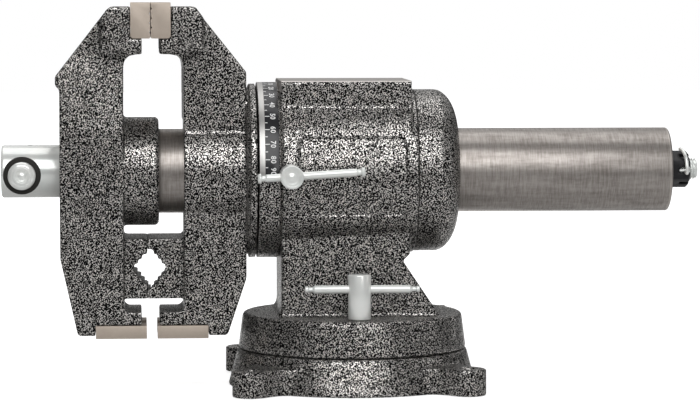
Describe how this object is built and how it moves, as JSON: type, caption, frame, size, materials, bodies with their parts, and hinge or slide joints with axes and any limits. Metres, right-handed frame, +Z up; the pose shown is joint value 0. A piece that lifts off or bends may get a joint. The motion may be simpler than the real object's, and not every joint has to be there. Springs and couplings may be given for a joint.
{
  "type": "swivel bench vise",
  "caption": "Bench vise with rotating jaws on a slide tube, barrel with anvil, pipe and vee jaws, turntable on an eared base, sliding tommy bars.",
  "frame": {"origin": "swivel axis on the underside of the base, where the base rests on the bench", "axes": "+X along the slide tube to its rear end, jaws at -X; +Z up; +Y away from the side that carries the head lock"},
  "size_m": [0.5231, 0.228, 0.2855],
  "materials": {
    "hammertone": "dark grey hammertone enamel with silver speckle",
    "jaw_steel": "ground brown-grey tool steel",
    "ground_tube": "dark steel tube, ground round its length",
    "zinc": "bright zinc plate",
    "black_oxide": "black oxide",
    "printed_scale": "bare strip and black print with white ticks and numbers",
    "brass": "machined",
    "rubber": "black"
  },
  "bodies": {
    "base": {"swivel_base": "hammertone"},
    "turntable": {"body_casting": "hammertone", "degree_scale": "printed_scale", "swivel_bolt_near": "zinc", "swivel_bolt_far": "zinc", "head_lock_pad": "brass"},
    "near_lock_nut": {"swivel_lock_nut_near": "zinc"},
    "near_lock_bar": {"swivel_lock_bar_near": "zinc"},
    "far_lock_nut": {"swivel_lock_nut_far": "zinc"},
    "far_lock_bar": {"swivel_lock_bar_far": "zinc"},
    "head_lock": {"head_lock_screw": "zinc"},
    "head_lock_tee": {"head_lock_bar": "zinc"},
    "head": {"fixed_jaw": "hammertone", "main_nut": "brass", "rear_cap": "hammertone", "rear_cap_screw_1": "zinc", "rear_cap_screw_2": "zinc", "rear_cap_screw_3": "zinc", "rear_cap_screw_4": "zinc", "fixed_top_plate": "jaw_steel", "fixed_vee_plate": "jaw_steel", "fixed_top_screw_near": "zinc", "fixed_top_screw_far": "zinc", "fixed_vee_screw_near": "zinc", "fixed_vee_screw_far": "zinc"},
    "slide": {"moving_jaw": "hammertone", "slide_tube": "ground_tube", "rear_bush": "jaw_steel", "jaw_set_screw": "zinc", "moving_top_plate": "jaw_steel", "moving_vee_plate": "jaw_steel", "moving_top_screw_near": "zinc", "moving_top_screw_far": "zinc", "moving_vee_screw_near": "zinc", "moving_vee_screw_far": "zinc"},
    "screw": {"spindle": "zinc", "castle_nut": "black_oxide", "split_pin": "zinc"},
    "tommy": {"tommy_bar": "zinc", "tommy_cap_near": "zinc", "tommy_cap_far": "zinc", "tommy_ring_near": "rubber", "tommy_ring_far": "rubber"}
  },
  "joints": [
    {"name": "turntable_swivel", "type": "hinge", "parent": "base", "child": "turntable", "pos_m": [0, 0, 0.027], "axis": [0, 0, 1], "continuous": true},
    {"name": "head_rotation", "type": "hinge", "parent": "turntable", "child": "head", "pos_m": [0, 0, 0.16], "axis": [1, 0, 0], "continuous": true},
    {"name": "jaw_slide", "type": "slide", "parent": "head", "child": "slide", "axis": [-1, 0, 0], "range_m": [0, 0.1301]},
    {"name": "spindle_turn", "type": "hinge", "parent": "slide", "child": "screw", "pos_m": [-0.2442, 0, 0.16], "axis": [-1, 0, 0], "range_deg": [0, 9360]},
    {"name": "tommy_slide", "type": "slide", "parent": "screw", "child": "tommy", "axis": [0, 1, 0], "range_m": [-0.1, 0.03]},
    {"name": "head_lock_turn", "type": "hinge", "parent": "turntable", "child": "head_lock", "pos_m": [-0.0495, -0.083, 0.16], "axis": [0, -1, 0], "range_deg": [-75, 75]},
    {"name": "head_lock_tee_slide", "type": "slide", "parent": "head_lock", "child": "head_lock_tee", "axis": [0.998, 0, 0.0628], "range_m": [-0.01, 0.009]},
    {"name": "near_lock_turn", "type": "hinge", "parent": "turntable", "child": "near_lock_nut", "pos_m": [0.001, -0.065, 0.0765], "axis": [0, 0, 1], "range_deg": [-20, 20]},
    {"name": "near_lock_bar_slide", "type": "slide", "parent": "near_lock_nut", "child": "near_lock_bar", "axis": [1, 0, 0], "range_m": [-0.008, 0.008]},
    {"name": "far_lock_turn", "type": "hinge", "parent": "turntable", "child": "far_lock_nut", "pos_m": [0.001, 0.065, 0.0765], "axis": [0, 0, 1], "range_deg": [-20, 20]},
    {"name": "far_lock_bar_slide", "type": "slide", "parent": "far_lock_nut", "child": "far_lock_bar", "axis": [1, 0, 0], "range_m": [-0.008, 0.008]}
  ],
  "couplings": [
    {"joint": "jaw_slide", "follows": "spindle_turn", "m_per_rad": 0.00079577}
  ]
}
